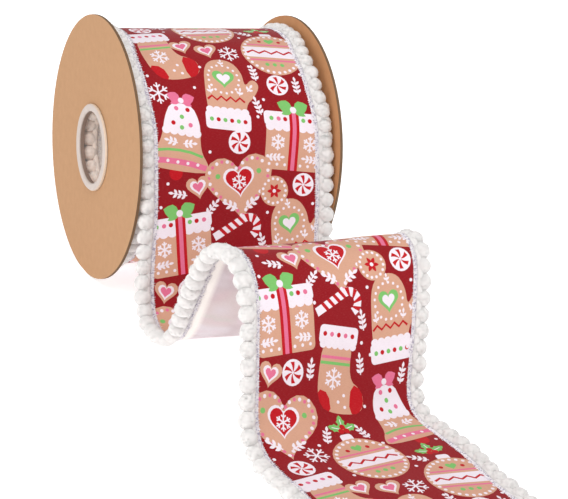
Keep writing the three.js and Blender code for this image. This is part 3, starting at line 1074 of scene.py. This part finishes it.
def make_yarn(name, side):
    """The soft roll of yarn along an edge, on the innermost turn and from the outermost to the end."""
    innermost = -WOUND_LENGTH + YARN_START
    stretches = (
        (innermost, innermost + TURN * INNERMOST_RADIUS),
        (-LAP_LENGTH + YARN_START, TAIL_LENGTH),
    )
    parts = []
    for first, last in stretches:
        s = np.arange(first, last, YARN_STEP)
        middle, _, across, out = cloth_frame(s, np.full(len(s), side * RIBBON_WIDTH / 2))
        aside = side * YARN_ASIDE + RNG.uniform(-0.15, 0.15, len(s)) * MM
        radius = YARN_RADIUS * RNG.uniform(0.86, 1.12, (len(s), 1))
        parts.append(tube(middle + across * aside[:, None], out, radius, YARN_SIDES))
    vertices, faces = merged(parts)
    vertices[:, 2] = np.maximum(vertices[:, 2], 0)
    return mesh_object(name, vertices, faces, POM)


# Pom-poms: soft balls of cut yarn, each a turned copy of one of a few


def ball(detail):
    made = bmesh.new()
    bmesh.ops.create_icosphere(made, subdivisions=detail, radius=1)
    points = np.array([v.co[:] for v in made.verts])
    faces = np.array([[v.index for v in f.verts] for f in made.faces])
    made.free()
    return points, faces


SWELLS = 7  # soft waves over a pom, and how high each is
SWELL_HEIGHT = 0.010
ROUGHNESS = 0.02  # how far a pom's points stand in and out


def shaggy(points):
    """A ball's points pushed in and out: soft swells and a fine roughness."""
    height = np.ones(len(points))
    for _ in range(SWELLS):
        wave = RNG.normal(size=3)
        height += SWELL_HEIGHT * np.sin(points @ wave * 3.2 + RNG.uniform(0, TURN))
    height += ROUGHNESS * RNG.normal(size=len(points)).clip(-2, 2)
    return points * height[:, None]


def turned(points):
    """Points turned at random about the origin."""
    q = RNG.normal(size=4)
    w, x, y, z = q / np.linalg.norm(q)
    turn = np.array([
        [1 - 2 * (y * y + z * z), 2 * (x * y - z * w), 2 * (x * z + y * w)],
        [2 * (x * y + z * w), 1 - 2 * (x * x + z * z), 2 * (y * z - x * w)],
        [2 * (x * z - y * w), 2 * (y * z + x * w), 1 - 2 * (x * x + y * y)],
    ])
    return points @ turn.T


def yarn_ends(count):
    """Thin closed spikes that stand out of a ball of radius 1."""
    way = unit(RNG.normal(size=(count, 3)))
    aside = unit(np.cross(way, RNG.normal(size=(count, 3))))
    third = np.cross(way, aside)
    corners = [heading(a) for a in (0, TURN / 3, TURN * 2 / 3)]
    foot = [0.9 * way + 0.055 * (c * aside + s * third) for c, s in corners]
    tip = way * RNG.uniform(1.06, 1.22, (count, 1)) + 0.1 * aside
    faces = np.array([(0, 1, 3), (1, 2, 3), (2, 0, 3), (0, 2, 1)]) + 4 * np.arange(count)[:, None, None]
    return np.stack([*foot, tip], axis=1).reshape(-1, 3), faces.reshape(-1, 3)


def pom_shapes(detail, ends, count):
    """A few different pom-poms of radius 1, each as its points and its faces."""
    points, faces = ball(detail)
    shapes = []
    for _ in range(count):
        spikes = yarn_ends(ends)
        shapes.append(merged([(shaggy(points), faces), spikes]))
    return shapes


RNG = np.random.default_rng(12)
FINE_POMS = pom_shapes(4, 100, 12)
COARSE_POMS = pom_shapes(3, 50, 8)
HIDDEN_POMS = pom_shapes(2, 0, 4)


def make_poms(name, groups, reach):
    """One joined mesh of pom-poms. groups is [((middles, half axes), shapes)].

    reach is how far they may stand from the spool's middle, sideways.
    """
    parts = []
    for (middles, axes), shapes in groups:
        for i, (middle, half) in enumerate(zip(middles, axes)):
            points, faces = shapes[i % len(shapes)]
            made = middle + turned(points) @ half
            made[:, 0] = np.clip(made[:, 0], SPOOL_MIDDLE.x - reach, SPOOL_MIDDLE.x + reach)
            made[:, 2] = np.maximum(made[:, 2], 0)
            parts.append((made, faces))
    return mesh_object(name, *merged(parts), POM)


def edge_poms(first, last, side):
    """The middles and half axes of the pom-poms along an edge, between two lengths."""
    s = np.arange(first, last, POM_PITCH)
    edge, along, across, out = cloth_frame(s, np.full(len(s), side * RIBBON_WIDTH / 2))
    size = RNG.uniform(*POM_UNEVEN, (len(s), 1))
    if side < 0:
        size = size * soft_table(POM_SWELL, s)[:, None]
    reach = POM_SEAT - RIBBON_WIDTH / 2 + POM_HALF["across"] * size
    lean = soft_table(POM_LEAN, s, MM)[:, None] + RNG.uniform(-0.25, 0.25, (len(s), 1)) * MM
    middles = edge + across * side * reach + out * lean
    axes = [POM_HALF["along"] * along, POM_HALF["across"] * across, POM_HALF["high"] * out]
    return middles, np.stack([axis * size for axis in axes], axis=1)


def ring_poms(radius, side, share=1.0):
    """The same for one ring of the pom-poms of the inner turns."""
    count = int(TURN * radius / POM_PITCH)
    angles = TURN * (np.arange(count) + RNG.uniform(0.2, 0.8)) / count
    width = POM_HALF["across"] * share * RNG.uniform(*POM_UNEVEN, count)
    x = SPOOL_MIDDLE.x + side * (POM_SEAT + width)
    spread = radius + RNG.uniform(-0.6, 0.6, count) * MM
    zero = np.zeros(count)
    out = np.column_stack([zero, np.cos(angles), np.sin(angles)])
    round_about = np.column_stack([zero, -np.sin(angles), np.cos(angles)])
    middles = out * spread[:, None] + np.column_stack([x, zero + SPOOL_MIDDLE.y, zero + AXIS_HEIGHT])
    aside = np.column_stack([width, zero, zero])
    return middles, np.stack([POM_HALF["along"] * round_about, aside, POM_HALF["high"] * out], axis=1)


POM_SPLIT = 21 * MM  # where the loose end's own pom-poms start
WOUND_POMS = 54  # from there back, over a little more than one turn
LAST_POM = TAIL_LENGTH - 2 * MM
SECOND_RING = 61.6 * MM
HIDDEN_RINGS = [x * MM for x in (58, 52.6, 47.2, 41.8, 36.4, 31)]
INNERMOST_RING = 26.2 * MM
INNERMOST_SHARE = 0.98  # the innermost poms are pressed narrower
DISC_CLEARANCE = 0.3 * MM

CLOTH = cloth_material()
THREAD = thread_material()
POM = pom_material()

ribbon = make_ribbon()
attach(ribbon, "root")
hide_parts("wound_ribbon", "tail_ribbon")

trim = []
for word, side in (("left", -1), ("right", 1)):
    overlock = make_overlock("overlock_" + word, side)
    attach(overlock, "root")
    yarn = make_yarn("edge_yarn_" + word, side)
    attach(yarn, "root")
    wound = edge_poms(POM_SPLIT - POM_PITCH * WOUND_POMS, POM_SPLIT - POM_PITCH / 2, side)
    rings = [ring_poms(radius, side) for radius in HIDDEN_RINGS]
    poms = make_poms("wound_poms_" + word, [
        (wound, FINE_POMS),
        (ring_poms(SECOND_RING, side), COARSE_POMS),
        ([np.concatenate(arrays) for arrays in zip(*rings)], HIDDEN_POMS),
        (ring_poms(INNERMOST_RING, side, INNERMOST_SHARE), FINE_POMS),
    ], DISC_SPACING / 2 - DISC_CLEARANCE)
    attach(poms, "root")
    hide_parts("wound_trim_" + word)
    loose = edge_poms(POM_SPLIT, LAST_POM, side)
    tail_poms = make_poms("tail_poms_" + word, [(loose, FINE_POMS)], RIBBON_WIDTH)
    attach(tail_poms, "root")
    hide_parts("tail_trim_" + word)
    trim += [overlock, yarn, poms, tail_poms]

HUB = hub_material()
# The right disc's board is coloured redder than the left's: painted red bounce light from the ribbon onto
# its inner face.
for word, light, deep in (
    ("left", linear(188, 146, 110), linear(180, 139, 103)),
    ("right", linear(200, 146, 103), linear(191, 137, 94)),
):
    board = chipboard_material("kraft_" + word, light, deep)
    bpy.data.objects["disc_" + word].material_slots[0].material = board
    bpy.data.objects["hub_" + word].material_slots[0].material = HUB


# Floor and light

FLOOR_HALF = 6
LIT_HEIGHT = 0.05  # of the point that the lights face
WORLD_STRENGTH = 0.62


def make_floor():
    mat = Material("floor")
    grain = mat.noise(mat.place(), 3, 2)
    material = mat.finish(
        mat.mix(grain, linear(224, 224, 224), linear(228, 228, 228)), 0.95, specular_ior_level=0.0,
        emission_color=(1, 1, 1, 1), emission_strength=0.66,
    )
    corners = FLOOR_HALF * np.array([(-1, -1, 0), (1, -1, 0), (1, 1, 0), (-1, 1, 0)], float)
    floor = mesh_object("floor", corners, [(0, 1, 2, 3)], material, False)


def make_light(name, place, size, energy):
    data = bpy.data.lights.new(name, "AREA")
    data.size = size
    data.energy = energy
    light = add_object(name, data)
    light.location = place
    middle = Vector((SPOOL_MIDDLE.x, 0, LIT_HEIGHT))
    light.rotation_euler = (Vector(place) - middle).to_track_quat("Z", "Y").to_euler()


make_floor()
make_light("key", (-0.85, -1.15, 1.95), 1.3, 30)
make_light("fill", (1.6, -1.0, 1.2), 1.4, 3)
make_light("side", (-1.7, -1.0, 0.45), 0.8, 5)

world = bpy.data.worlds.new("world")
world.use_nodes = True
background = world.node_tree.nodes["Background"]
background.inputs["Color"].default_value = (1, 1, 1, 1)
background.inputs["Strength"].default_value = WORLD_STRENGTH
bpy.context.scene.world = world
bpy.context.scene.view_settings.view_transform = "Standard"
